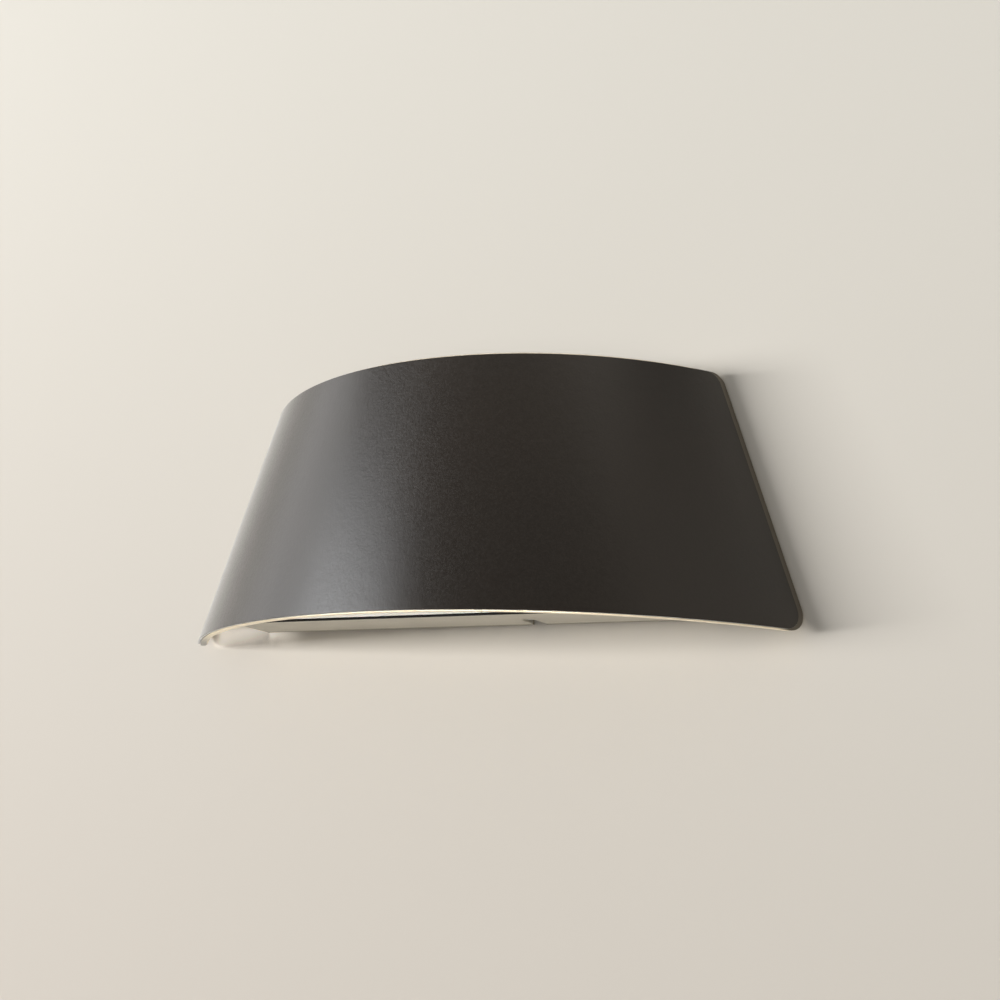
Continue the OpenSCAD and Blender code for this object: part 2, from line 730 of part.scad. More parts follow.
module led_tray() {
    color([0.62, 0.63, 0.64]) on_wall() difference() {
        union() {
            layer(tray_z, tray_top) inner_segment(tray_top, shell_play, box_front);
            translate([-flange_half, flange_y, tray_z]) cube([2 * flange_half, tray_t, tray_t + flange_h]);
        }
        for (a = lug_angles) at_lug(a, tray_top) translate([0, 0, -tray_t - 1])
            cylinder(r = screw_r + hole_play, h = tray_t + 2);
        for (x = [-flange_screw_x, 0, flange_screw_x])
            translate([x, box_front + 1, flange_screw_z]) rotate([90, 0, 0])
                cylinder(r = screw_r + hole_play, h = tray_t + 2);
        translate([0, 0, tray_z - 1]) {
            baffle_points() cylinder(r = screw_r + thread_play, h = tray_t + 2);
            board_points() cylinder(r = screw_r + thread_play, h = tray_t + 2);
            translate([lead_drop_x, lead_drop_y, 0]) cylinder(r = lead_hole_r, h = tray_t + 2);
        }
    }
}

module tray_screws() {
    color(zinc) on_wall() {
        for (a = lug_angles) at_lug(a, tray_top) translate([0, 0, -tray_t])
            screw_up() screw(screw_r, tray_screw_l, head_r, head_h);
        for (x = [-flange_screw_x, 0, flange_screw_x])
            translate([x, flange_y, flange_screw_z]) screw_to_wall()
                screw(screw_r, box_screw_l, head_r, head_h);
    }
}

module led_board() {
    color([0.9, 0.9, 0.88]) on_wall() difference() {
        layer(tray_z - board_t, tray_z) translate([0, led_y]) round_rect(board_l, board_w, 1);
        board_points() translate([0, 0, tray_z - board_t - 1])
            cylinder(r = screw_r + hole_play, h = board_t + 2);
    }
}

module board_points() {
    for (s = [-1, 1]) translate([s * board_screw_x, led_y, 0]) children();
}

module board_screws() {
    color(zinc) on_wall() board_points() translate([0, 0, tray_z - board_t])
        screw_up() screw(screw_r, board_t + tray_t, head_r, head_h);
}

module led_chips() {
    color([0.95, 0.85, 0.35]) on_wall() for (i = [0 : chips - 1])
        translate([(i - (chips - 1) / 2) * chip_pitch, led_y, tray_z - board_t - chip_t / 2])
            cube([chip_w, chip_w, chip_t], center = true);
}

// Two sloping sides joined at their ends, round the row of chips
module reflector() {
    z0 = lens_z + lens_t;
    z1 = tray_z - board_t;
    outer_w = chamber_w - 2 * chamber_wall - 2 * fit_play;
    inner_l = chamber_l - 2 * chamber_wall - 2 * fit_play;
    top_w = chip_w + 2.4;
    color([0.95, 0.95, 0.95]) on_wall() translate([0, led_y, 0])
        for (s = [-1, 1]) rotate([90, 0, 90]) linear_extrude(inner_l - 22, center = true) polygon([
            [s * outer_w / 2, z0],
            [s * (outer_w / 2 - reflector_t), z0],
            [s * top_w / 2, z1],
            [s * (top_w / 2 + reflector_t), z1]
        ]);
}

// The inside of the light chamber, drawn in by some play
module chamber_2d(play) {
    inset = 2 * chamber_wall + 2 * play;
    round_rect(chamber_l - inset, chamber_w - inset, 1);
}

module diffuser() {
    color([0.96, 0.96, 0.94, 0.6]) on_wall() layer(lens_z, lens_z + lens_t)
        translate([0, led_y]) chamber_2d(fit_play);
}

module diffuser_gasket() {
    color(black) on_wall() layer(baffle_z + baffle_t, lens_z) translate([0, led_y]) difference() {
        chamber_2d(fit_play);
        round_rect(window_l + 0.6, window_w + 0.6, 1);
    }
}

module glare_baffle() {
    z1 = baffle_z + baffle_t;
    color(black) on_wall() difference() {
        union() {
            layer(baffle_z, z1) inner_segment(z1, shell_play, box_front - fit_play);
            layer(baffle_z, tray_z) translate([0, led_y]) round_rect(chamber_l, chamber_w, 2);
            layer(baffle_z, tray_z) baffle_points() circle(post_r);
        }
        layer(z1, tray_z + 1) translate([0, led_y]) chamber_2d(0);
        layer(baffle_z - 1, z1 + 1) translate([0, led_y]) round_rect(window_l, window_w, 1);
        translate([0, 0, baffle_z - 1]) baffle_points() cylinder(r = screw_r + hole_play, h = tray_z);
    }
}

// A sheet on the front of the box between two heights
module front_sheet(z0, z1) {
    slab(box_front - skirt_t, box_front) polygon([
        [-box_half(z0) + fit_play, z0],
        [box_half(z0) - fit_play, z0],
        [box_half(z1) - fit_play, z1],
        [-box_half(z1) + fit_play, z1]
    ]);
}

// The black strip is bonded on along the foot of the box, the white liner from there to the baffle
module front_skirt() {
    color(black) on_wall() front_sheet(box_lift, box_lift + skirt_h);
}

module front_liner() {
    color([0.94, 0.94, 0.92]) on_wall() front_sheet(box_lift + skirt_h, baffle_z - fit_play);
}

module baffle_points() {
    for (s = [-1, 1], p = [rear_post, front_post]) translate([s * p[0], p[1], 0]) children();
}

module baffle_screws() {
    color(zinc) on_wall() baffle_points() translate([0, 0, baffle_z])
        screw_up() screw(screw_r, tray_top - baffle_z, head_r, head_h);
}

wall_bracket();
cable_grommet();
earth_screw();
lock_screw();
back_box();
box_gasket();
driver();
driver_screws();
terminal_block();
terminal_screws();
cord_clamp();
clamp_screws();
supply_leads();
lead_grommet();
led_leads();
shade_cover();
shade_shell();
shade_lugs();
top_cap();
cap_screws();
led_tray();
tray_screws();
led_board();
board_screws();
led_chips();
reflector();
diffuser();
diffuser_gasket();
glare_baffle();
baffle_screws();
front_skirt();
front_liner();
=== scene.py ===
import json
import math
import bmesh
import bpy
from mathutils import Matrix, Vector

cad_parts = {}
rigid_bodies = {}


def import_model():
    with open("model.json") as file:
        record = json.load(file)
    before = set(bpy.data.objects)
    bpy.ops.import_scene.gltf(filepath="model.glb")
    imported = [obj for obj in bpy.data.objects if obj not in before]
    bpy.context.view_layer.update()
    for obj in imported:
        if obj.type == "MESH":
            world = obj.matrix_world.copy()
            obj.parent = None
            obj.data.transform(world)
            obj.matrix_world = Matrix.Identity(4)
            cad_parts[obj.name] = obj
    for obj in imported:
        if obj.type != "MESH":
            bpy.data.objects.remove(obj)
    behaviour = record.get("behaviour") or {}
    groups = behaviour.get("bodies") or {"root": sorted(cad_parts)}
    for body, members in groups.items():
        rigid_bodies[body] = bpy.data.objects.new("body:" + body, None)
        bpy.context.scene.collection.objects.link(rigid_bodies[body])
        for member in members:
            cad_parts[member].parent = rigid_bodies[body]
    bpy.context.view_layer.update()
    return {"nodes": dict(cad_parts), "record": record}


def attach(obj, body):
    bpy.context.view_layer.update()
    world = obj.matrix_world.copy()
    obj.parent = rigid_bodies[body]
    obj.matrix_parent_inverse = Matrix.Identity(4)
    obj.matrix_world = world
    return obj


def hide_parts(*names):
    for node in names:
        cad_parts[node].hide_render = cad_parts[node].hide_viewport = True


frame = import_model()
nodes = frame["nodes"]
slotOfNode = {part["node"]: part["material_slot"] for part in frame["record"]["subparts"]}
bodies = frame["record"]["behaviour"]["bodies"]
bodyOfNode = {name: body for body, names in bodies.items() for name in names}
scene = bpy.context.scene
mm = 0.001
print("frame loaded with", len(nodes), "nodes")


def tone(red, green, blue):
    # a display colour, 0 to 255, as the linear colour that a shader takes
    def linear(value):
        value /= 255
        return value / 12.92 if value <= 0.04045 else ((value + 0.055) / 1.055) ** 2.4
    return (linear(red), linear(green), linear(blue), 1)


# camera, from the fit of the shade's outlines to the photograph's frame
cameraView = {"place": (0.28331, -0.53092, -0.13318), "aim": (-0.44498, 0.86346, 0.23753), "roll": 2.704,
              "lens": 50, "sensor": 36, "near": 0.01, "far": 50}


def addCamera(view):
    data = bpy.data.cameras.new("photoCamera")
    data.lens = view["lens"]
    data.sensor_width = view["sensor"]
    data.clip_start = view["near"]
    data.clip_end = view["far"]
    aim = Vector(view["aim"]).normalized()
    level = aim.cross(Vector((0, 0, 1))).normalized()
    rise = level.cross(aim)
    roll = math.radians(view["roll"])
    right = math.cos(roll) * level + math.sin(roll) * rise
    up = math.cos(roll) * rise - math.sin(roll) * level
    turn = Matrix((right, up, -aim)).transposed()
    camera = bpy.data.objects.new("photoCamera", data)
    camera.matrix_world = Matrix.Translation(view["place"]) @ turn.to_4x4()
    scene.collection.objects.link(camera)
    scene.camera = camera


addCamera(cameraView)
scene.view_settings.view_transform = "Standard"
print("camera placed")


# node helpers
def addNode(tree, kind, **values):
    node = tree.nodes.new(kind)
    for key, value in values.items():
        setattr(node, key, value)
    return node


def wire(tree, source, target):
    # a number or a colour is typed into the socket, another node's output is linked to it
    if isinstance(source, (int, float, tuple)):
        target.default_value = source
    else:
        tree.links.new(source, target)


def noiseOn(tree, vector, scale, detail, rough):
    noise = addNode(tree, "ShaderNodeTexNoise")
    for name, source in (("Vector", vector), ("Scale", scale), ("Detail", detail), ("Roughness", rough)):
        wire(tree, source, noise.inputs[name])
    return noise.outputs["Fac"]


def ranged(tree, value, low, high, toLow=0.0, toHigh=1.0):
    # a soft step between low and high
    node = addNode(tree, "ShaderNodeMapRange", interpolation_type="SMOOTHSTEP")
    ends = {"Value": value, "From Min": low, "From Max": high, "To Min": toLow, "To Max": toHigh}
    for name, source in ends.items():
        wire(tree, source, node.inputs[name])
    return node.outputs["Result"]


def rising(tree, value, span):
    # 0 to 1 over a span in millimetres
    return ranged(tree, value, span[0] * mm, span[1] * mm)


def falling(tree, value, span):
    # 1 to 0 over a span in millimetres
    return ranged(tree, value, span[0] * mm, span[1] * mm, 1.0, 0.0)


def maths(tree, operation, first, second=0.0):
    node = addNode(tree, "ShaderNodeMath", operation=operation)
    wire(tree, first, node.inputs[0])
    wire(tree, second, node.inputs[1])
    return node.outputs[0]


def times(tree, first, second):
    return maths(tree, "MULTIPLY", first, second)


def axesOf(tree, vector):
    split = addNode(tree, "ShaderNodeSeparateXYZ")
    wire(tree, vector, split.inputs["Vector"])
    return split.outputs


def newGroup(name, inputs, outputs):
    # every group takes a place as Vector, and values besides
    group = bpy.data.node_groups.new(name, "ShaderNodeTree")
    group.interface.new_socket(name="Vector", in_out="INPUT", socket_type="NodeSocketVector")
    for label, value in inputs.items():
        socket = group.interface.new_socket(name=label, in_out="INPUT", socket_type="NodeSocketFloat")
        socket.default_value = value
    for label in outputs:
        group.interface.new_socket(name=label, in_out="OUTPUT", socket_type="NodeSocketFloat")
    return group, addNode(group, "NodeGroupInput").outputs, addNode(group, "NodeGroupOutput").inputs


# fine pitted skin of a powder coat or a moulding, with slow cloudiness under it
grainNoise = {"scale": 1800.0, "wider": 0.31, "detail": 2, "fineRough": 0.6, "widerRough": 0.5,
              "fineShare": 0.45, "widerShare": 0.55, "grainSpan": (0.35, 0.7), "cloudScale": 25.0,
              "cloudDetail": 3, "cloudRough": 0.55, "cloudSpan": (0.3, 0.7)}


def makeGrainGroup(look):
    group, given, result = newGroup(
        "fineGrain", {"Grain Scale": look["scale"], "Cloud Scale": look["cloudScale"]},
        ("Grain", "Cloud", "Height"))
    vector, scale = given["Vector"], given["Grain Scale"]
    fine = noiseOn(group, vector, scale, look["detail"], look["fineRough"])
    wider = noiseOn(group, vector, times(group, scale, look["wider"]), look["detail"], look["widerRough"])
    cloud = noiseOn(group, vector, given["Cloud Scale"], look["cloudDetail"], look["cloudRough"])
    height = maths(group, "ADD", times(group, fine, look["fineShare"]),
                   times(group, wider, look["widerShare"]))
    wire(group, ranged(group, fine, *look["grainSpan"]), result["Grain"])
    wire(group, ranged(group, cloud, *look["cloudSpan"]), result["Cloud"])
    wire(group, height, result["Height"])
    return group


# rubbed edges: the convex parts of a bevelled mesh, broken up by noise
edgeRub = {"start": 0.52, "end": 0.6, "breakScale": 220.0, "detail": 4, "rough": 0.6,
           "breakSpan": (0.4, 0.62)}


def makeWearGroup(look):
    group, given, result = newGroup(
        "edgeWear", {"Start": look["start"], "End": look["end"], "Break Scale": look["breakScale"]},
        ("Mask",))
    pointed = addNode(group, "ShaderNodeNewGeometry").outputs["Pointiness"]
    edge = ranged(group, pointed, given["Start"], given["End"])
    noise = noiseOn(group, given["Vector"], given["Break Scale"], look["detail"], look["rough"])
    wire(group, times(group, edge, ranged(group, noise, *look["breakSpan"])), result["Mask"])
    return group


# fine dust that settles on faces that look up
dustFall = {"cloudScale": 60.0, "upSpan": (0.45, 0.98), "detail": 5, "rough": 0.6, "patchSpan": (0.35, 0.7)}


def makeDustGroup(look):
    group, given, result = newGroup("settledDust", {"Cloud Scale": look["cloudScale"]}, ("Mask",))
    up = axesOf(group, addNode(group, "ShaderNodeNewGeometry").outputs["Normal"])["Z"]
    noise = noiseOn(group, given["Vector"], given["Cloud Scale"], look["detail"], look["rough"])
    patches = ranged(group, noise, *look["patchSpan"])
    wire(group, times(group, ranged(group, up, *look["upSpan"]), patches), result["Mask"])
    return group


# drawn or brushed metal: long fine streaks along X
brushNoise = {"along": 25.0, "across": 2600.0, "scale": 1.0, "detail": 3, "rough": 0.6,
              "streakSpan": (0.3, 0.7)}


def makeBrushGroup(look):
    group, given, result = newGroup(
        "brushedStreaks", {"Along": look["along"], "Across": look["across"]}, ("Streak", "Height"))
    join = addNode(group, "ShaderNodeCombineXYZ")
    for axis, scale in zip("XYZ", ("Along", "Across", "Across")):
        wire(group, given[scale], join.inputs[axis])
    stretched = addNode(group, "ShaderNodeVectorMath", operation="MULTIPLY")
    wire(group, given["Vector"], stretched.inputs[0])
    wire(group, join.outputs["Vector"], stretched.inputs[1])
    streak = noiseOn(group, stretched.outputs["Vector"], look["scale"], look["detail"], look["rough"])
    wire(group, ranged(group, streak, *look["streakSpan"]), result["Streak"])
    wire(group, streak, result["Height"])
    return group


# zinc crystals on galvanised sheet
zincCrystals = {"scale": 260.0, "borderSpan": (0.0, 0.08)}


def makeSpangleGroup(look):
    group, given, result = newGroup("zincSpangle", {"Crystal Scale": look["scale"]}, ("Crystal", "Border"))
    cells = addNode(group, "ShaderNodeTexVoronoi", feature="F1")
    borders = addNode(group, "ShaderNodeTexVoronoi", feature="DISTANCE_TO_EDGE")
    for cell in (cells, borders):
        wire(group, given["Vector"], cell.inputs["Vector"])
        wire(group, given["Crystal Scale"], cell.inputs["Scale"])
    split = addNode(group, "ShaderNodeSeparateColor")
    wire(group, cells.outputs["Color"], split.inputs["Color"])
    wire(group, split.outputs["Red"], result["Crystal"])
    wire(group, ranged(group, borders.outputs["Distance"], *look["borderSpan"]), result["Border"])
    return group


groups = {"grain": makeGrainGroup(grainNoise), "wear": makeWearGroup(edgeRub),
          "dust": makeDustGroup(dustFall), "brush": makeBrushGroup(brushNoise),
          "spangle": makeSpangleGroup(zincCrystals)}
print("shader groups made:", ", ".join(groups))


def placeGroup(tree, key, vector, values):
    node = addNode(tree, "ShaderNodeGroup", node_tree=groups[key])
    wire(tree, vector, node.inputs["Vector"])
    for name, value in values.items():
        wire(tree, value, node.inputs[name])
    return node.outputs


def addGrain(tree, place, look):
    scales = {"Grain Scale": look["grainScale"], "Cloud Scale": look["cloudScale"]}
    return placeGroup(tree, "grain", place, scales)


def blendColour(tree, factor, first, second):
    node = addNode(tree, "ShaderNodeMix", data_type="RGBA")
    colours = [socket for socket in node.inputs if socket.type == "RGBA"]
    for socket, value in zip(colours, (first, second)):
        wire(tree, value, socket)
    wire(tree, factor, node.inputs["Factor"])
    return [socket for socket in node.outputs if socket.type == "RGBA"][0]


def tinted(tree, colour, mask, share, tint):
    # lays a share of a tint over a colour where the mask lets it
    return blendColour(tree, times(tree, mask, share), colour, tint)


def startMaterial(name, fixed):
    material = bpy.data.materials.new(name)
    material.use_nodes = True
    tree = material.node_tree
    shader = tree.nodes["Principled BSDF"]
    for label, value in fixed.items():
        wire(tree, value, shader.inputs[label])
    return material, tree, shader, addNode(tree, "ShaderNodeTexCoord").outputs["Object"]


def addSkin(tree, shader, look, colour, mask, height, rougher=None):
    # colour, a roughness that follows the mask, and bump
    rough = ranged(tree, mask, 0.0, 1.0, look["roughLow"], look["roughHigh"])
    if rougher is not None:
        rough = maths(tree, "ADD", rough, rougher)
    bump = addNode(tree, "ShaderNodeBump")
    wire(tree, 1.0, bump.inputs["Strength"])
    wire(tree, look["depth"] * mm, bump.inputs["Distance"])
    wire(tree, height, bump.inputs["Height"])
    wire(tree, colour, shader.inputs["Base Color"])
    wire(tree, rough, shader.inputs["Roughness"])
    wire(tree, bump.outputs["Normal"], shader.inputs["Normal"])


def powderCoat(name, look):
    # sprayed finish: cloudy colour, fine speckle, rubbed edges and a little dust
    material, tree, shader, place = startMaterial(name, {
        "Specular IOR Level": look["specular"], "Specular Tint": look["tint"],
        "Sheen Weight": look["sheen"], "Sheen Roughness": look["sheenRough"]})
    grain = addGrain(tree, place, look)
    wear = placeGroup(tree, "wear", place, {"Start": look["wearStart"], "End": look["wearEnd"]})
    dusty = times(tree, placeGroup(tree, "dust", place, {})["Mask"], look["dust"])
    colour = blendColour(tree, grain["Cloud"], look["colour"], look["cloudColour"])
    colour = tinted(tree, colour, grain["Grain"], look["speck"], look["speckColour"])
    colour = tinted(tree, colour, wear["Mask"], look["wear"], look["wornColour"])
    colour = blendColour(tree, dusty, colour, look["dustColour"])
    rougher = times(tree, dusty, look["dustRough"])
    addSkin(tree, shader, look, colour, grain["Grain"], grain["Height"], rougher)
    return material


def brushedMetal(name, look):
    # satin metal with fine streaks along X and a slow change of tone
    material, tree, shader, place = startMaterial(name, {"Metallic": look.get("metallic", 1.0)})
    brush = placeGroup(tree, "brush", place, {"Along": look["along"], "Across": look["across"]})
    colour = blendColour(tree, brush["Streak"], look["colour"], look["streakColour"])
    colour = tinted(tree, colour, addGrain(tree, place, look)["Cloud"], look["cloud"], look["cloudColour"])
    addSkin(tree, shader, look, colour, brush["Streak"], brush["Height"])
    return material


def shellMetal(name, look, form):
    # the bare metal of the shell, with a brown on the outside of its two ends that is partly the cover's
    # coat and partly painted shade, and a painted shade that greys the lower edge towards the left end
    material = brushedMetal(name, look)
    tree = material.node_tree
    base = tree.nodes["Principled BSDF"].inputs["Base Color"]
    x, y, z = axesOf(tree, addNode(tree, "ShaderNodeTexCoord").outputs["Object"])
    # the cone's size at this height, then how deep the point lies under its outer surface
    fall = (1 - form["topWidth"] / form["width"]) / (form["height"] * mm)
    level = maths(tree, "SUBTRACT", 1 - fall * form["edgeToOrigin"] * mm, times(tree, z, fall))
    behind = maths(tree, "SUBTRACT", y, times(tree, level, form["centre"] * mm))
    squares = maths(tree, "ADD", times(tree, x, x), times(tree, behind, behind))
    depth = maths(tree, "SUBTRACT", times(tree, level, form["radius"] * mm), maths(tree, "SQRT", squares))
    bare = base.links[0].from_socket
    # painted shade: the lower edge face turns greyer towards the left end, for a darker reflection there
    under, atLeft = falling(tree, z, look["edgeSpan"]), falling(tree, x, look["paintedShadeSpan"])
    bare = tinted(tree, bare, under, atLeft, look["paintedShadeColour"])
    # brown on the outer faces near both ends: partly the cover's coat, partly painted shade for the shadowed
    # wall
    outside, atEnd = falling(tree, depth, look["coatAndShadeDepth"]), rising(tree, y, look["coatAndShadeSpan"])
    wire(tree, tinted(tree, bare, outside, atEnd, look["coatAndShadeColour"]), base)
    return material


def zincSheet(name, look):
    # galvanised steel: crystals of slightly different grey with darker borders
    material, tree, shader, place = startMaterial(name, {"Metallic": 1.0})
    spangle = placeGroup(tree, "spangle", place, {"Crystal Scale": look["crystalScale"]})
    grain = addGrain(tree, place, look)
    colour = blendColour(tree, spangle["Crystal"], look["colour"], look["crystalColour"])
    border = maths(tree, "SUBTRACT", 1.0, spangle["Border"])
    colour = tinted(tree, colour, border, look["border"], look["borderColour"])
    colour = tinted(tree, colour, grain["Cloud"], look["cloud"], look["cloudColour"])
    addSkin(tree, shader, look, colour, spangle["Crystal"], grain["Height"])
    return material


plasticDust = {"Cloud Scale": 90.0}


def mouldedPlastic(name, look):
    # plastic or rubber with a fine eroded skin and a little dust
    material, tree, shader, place = startMaterial(name, {
        "Specular IOR Level": look.get("specular", 0.5), "Subsurface Weight": look.get("glow", 0.0),
        "Subsurface Scale": look.get("glowDepth", 1.0) * mm, "Coat Weight": look.get("coat", 0.0)})
    grain = addGrain(tree, place, look)
    dust = placeGroup(tree, "dust", place, plasticDust)
    colour = blendColour(tree, grain["Cloud"], look["colour"], look["cloudColour"])
    colour = tinted(tree, colour, dust["Mask"], look["dust"], look["dustColour"])
    addSkin(tree, shader, look, colour, grain["Grain"], grain["Height"])
    return material


def boardCoat(name, look):
    # white solder mask with copper lands that show as pale strips along the board
    material, tree, shader, place = startMaterial(name, {"Specular IOR Level": look["specular"]})
    stripe = maths(tree, "PINGPONG", axesOf(tree, place)["X"], look["landPitch"] * mm)
    land = rising(tree, stripe, look["landSpan"])
    grain = addGrain(tree, place, look)
    colour = blendColour(tree, grain["Cloud"], look["colour"], look["cloudColour"])
    colour = tinted(tree, colour, land, look["land"], look["landColour"])
    height = maths(tree, "ADD", land, times(tree, grain["Height"], look["grainHeight"]))
    addSkin(tree, shader, look, colour, grain["Grain"], height)
    return material


# finishes; spans and depths are in millimetres
bronzeLook = {"colour": tone(23, 17, 12), "cloudColour": tone(27, 20, 14), "speckColour": tone(52, 46, 40),
              "speck": 0.08, "wornColour": tone(110, 98, 82), "wear": 0.12, "wearStart": 0.54,
              "wearEnd": 0.66, "dustColour": tone(120, 115, 106), "dust": 0.08, "dustRough": 0.35,
              "specular": 0.5, "tint": (1.0, 0.965, 0.915, 1), "sheen": 0.9, "sheenRough": 0.3,
              "roughLow": 0.28, "roughHigh": 0.36, "grainScale": 1100.0, "cloudScale": 14.0, "depth": 0.06}
beigeLook = {"colour": tone(174, 168, 154), "cloudColour": tone(166, 160, 146),
             "speckColour": tone(196, 191, 178), "speck": 0.25, "wornColour": tone(205, 200, 188),
             "wear": 0.25, "wearStart": 0.52, "wearEnd": 0.62, "dustColour": tone(190, 186, 176),
             "dust": 0.15, "dustRough": 0.35, "specular": 0.45, "tint": (1, 1, 1, 1), "sheen": 0.0,
             "sheenRough": 0.3, "roughLow": 0.42, "roughHigh": 0.56, "grainScale": 1900.0,
             "cloudScale": 18.0, "depth": 0.02}
# the shell's last colours are painted shade: a brown on the ends, partly the cover's coat, and a grey lower
# edge
champagneLook = {"colour": tone(236, 224, 200), "streakColour": tone(231, 218, 193),
                 "cloudColour": tone(228, 214, 188), "cloud": 0.25, "metallic": 0.7, "along": 20.0,
                 "across": 3200.0, "grainScale": 2200.0, "cloudScale": 20.0, "roughLow": 0.28,
                 "roughHigh": 0.32, "depth": 0.0012, "coatAndShadeColour": tone(98, 92, 82),
                 "coatAndShadeDepth": (1.75, 1.9), "coatAndShadeSpan": (-14.0, -8.0), "paintedShadeColour": tone(134, 132, 127),
                 "edgeSpan": (-49.9, -49.2), "paintedShadeSpan": (-138.0, -110.0)}
trayLook = {"colour": tone(178, 180, 181), "streakColour": tone(160, 162, 164),
            "cloudColour": tone(150, 152, 154), "cloud": 0.3, "along": 24.0, "across": 2400.0,
            "grainScale": 1800.0, "cloudScale": 22.0, "roughLow": 0.34, "roughHigh": 0.48, "depth": 0.006}
screwLook = {"colour": tone(196, 197, 198), "streakColour": tone(178, 179, 181),
             "cloudColour": tone(160, 160, 160), "cloud": 0.35, "along": 900.0, "across": 2600.0,
             "grainScale": 2600.0, "cloudScale": 120.0, "roughLow": 0.24, "roughHigh": 0.38, "depth": 0.004}
brassLook = {"colour": tone(212, 178, 104), "streakColour": tone(196, 162, 90),
             "cloudColour": tone(150, 118, 62), "cloud": 0.45, "along": 700.0, "across": 2200.0,
             "grainScale": 2400.0, "cloudScale": 140.0, "roughLow": 0.24, "roughHigh": 0.4, "depth": 0.004}
bracketLook = {"colour": tone(186, 188, 190), "crystalColour": tone(168, 171, 174), "crystalScale": 190.0,
               "borderColour": tone(150, 152, 155), "border": 0.35, "cloudColour": tone(170, 170, 168),
               "cloud": 0.3, "grainScale": 1500.0, "cloudScale": 30.0, "roughLow": 0.32, "roughHigh": 0.5,
               "depth": 0.01}
blackLook = {"colour": tone(24, 24, 24), "cloudColour": tone(30, 29, 28), "dustColour": tone(96, 92, 86),
             "dust": 0.12, "roughLow": 0.55, "roughHigh": 0.72, "grainScale": 1400.0, "cloudScale": 35.0,
             "depth": 0.03, "specular": 0.35}
rubberLook = {"colour": tone(34, 34, 35), "cloudColour": tone(42, 41, 40),
              "dustColour": tone(110, 106, 100), "dust": 0.2, "roughLow": 0.6, "roughHigh": 0.8,
              "grainScale": 2000.0, "cloudScale": 50.0, "depth": 0.02, "specular": 0.3}
foamLook = {"colour": tone(150, 143, 127), "cloudColour": tone(140, 133, 118),
            "dustColour": tone(120, 116, 110), "dust": 0.1, "roughLow": 0.85, "roughHigh": 0.95,
            "grainScale": 1100.0, "cloudScale": 60.0, "depth": 0.12, "specular": 0.2}
whiteLook = {"colour": tone(226, 225, 219), "cloudColour": tone(218, 216, 208),
             "dustColour": tone(190, 184, 172), "dust": 0.1, "roughLow": 0.36, "roughHigh": 0.48,
             "grainScale": 1600.0, "cloudScale": 40.0, "depth": 0.012, "glow": 0.05, "glowDepth": 1.0}
opalLook = {"colour": tone(236, 235, 230), "cloudColour": tone(230, 228, 221),
            "dustColour": tone(200, 196, 186), "dust": 0.08, "roughLow": 0.3, "roughHigh": 0.4,
            "grainScale": 1200.0, "cloudScale": 30.0, "depth": 0.006, "glow": 0.35, "glowDepth": 3.0,
            "coat": 0.1}
phosphorLook = {"colour": tone(232, 206, 92), "cloudColour": tone(222, 190, 70),
                "dustColour": tone(220, 210, 160), "dust": 0.05, "roughLow": 0.35, "roughHigh": 0.5,
                "grainScale": 2600.0, "cloudScale": 300.0, "depth": 0.01, "coat": 0.2}
brownLeadLook = {"colour": tone(98, 62, 38), "cloudColour": tone(88, 54, 33),
                 "dustColour": tone(150, 140, 126), "dust": 0.1, "roughLow": 0.34, "roughHigh": 0.46,
                 "grainScale": 1500.0, "cloudScale": 120.0, "depth": 0.01}
redLeadLook = dict(brownLeadLook, colour=tone(168, 34, 28), cloudColour=tone(150, 28, 24))
boardLook = {"colour": tone(232, 232, 228), "cloudColour": tone(224, 224, 218),
             "landColour": tone(206, 196, 176), "land": 0.3, "landPitch": 5.8, "landSpan": (1.74, 2.436),
             "roughLow": 0.3, "roughHigh": 0.42, "grainScale": 1800.0, "cloudScale": 60.0,
             "grainHeight": 0.2, "depth": 0.03, "specular": 0.5}

# the leaning cone that both plates of the shade follow; millimetres, heights from the lower edge
shadeForm = {"width": 300, "topWidth": 227, "height": 110, "depth": 80.5, "edgeToOrigin": 50}
shadeForm["radius"] = (shadeForm["width"] ** 2 / 4 + shadeForm["depth"] ** 2) / (2 * shadeForm["depth"])
shadeForm["centre"] = shadeForm["radius"] - shadeForm["depth"]

materials = {
    "bronze_cover": powderCoat("bronzeCover", bronzeLook),
    "beige_box": powderCoat("beigeBox", beigeLook),
    "champagne_shell": shellMetal("champagneShell", champagneLook, shadeForm),
    "tray_aluminium": brushedMetal("trayAluminium", trayLook),
    "screw_steel": brushedMetal("screwSteel", screwLook),
    "brass": brushedMetal("brassTerminals", brassLook),
    "bracket_steel": zincSheet("bracketSteel", bracketLook),
    "black_baffle": mouldedPlastic("blackBaffle", blackLook),
    "rubber": mouldedPlastic("blackRubber", rubberLook),
    "foam": mouldedPlastic("gasketFoam", foamLook),
    "white_plastic": mouldedPlastic("whitePlastic", whiteLook),
    "opal": mouldedPlastic("opalDiffuser", opalLook),
    "phosphor": mouldedPlastic("chipPhosphor", phosphorLook),
    "lead_brown": mouldedPlastic("brownLead", brownLeadLook),
    "lead_red": mouldedPlastic("redLead", redLeadLook),
    "board_white": boardCoat("boardWhite", boardLook),
}
print("materials made:", len(materials))


def dress(piece, slot):
    piece.data.materials.clear()
    piece.data.materials.append(materials[slot])


for nodeName, node in nodes.items():
    dress(node, slotOfNode[nodeName])


def breakEdges(shape, look):
    # rounds the edges where two faces turn by more than an angle
    hard = [edge for edge in shape.edges
            if len(edge.link_faces) == 2 and edge.calc_face_angle() > math.radians(look["turn"])]
    bmesh.ops.bevel(shape, geom=hard, offset=look["edge"] * mm, offset_type="OFFSET", affect="EDGES",
                    segments=look["steps"], profile=0.5, material=-1)


def meshFrom(shape, name):
    mesh = bpy.data.meshes.new(name)
    shape.to_mesh(mesh)
    shape.free()
    return mesh


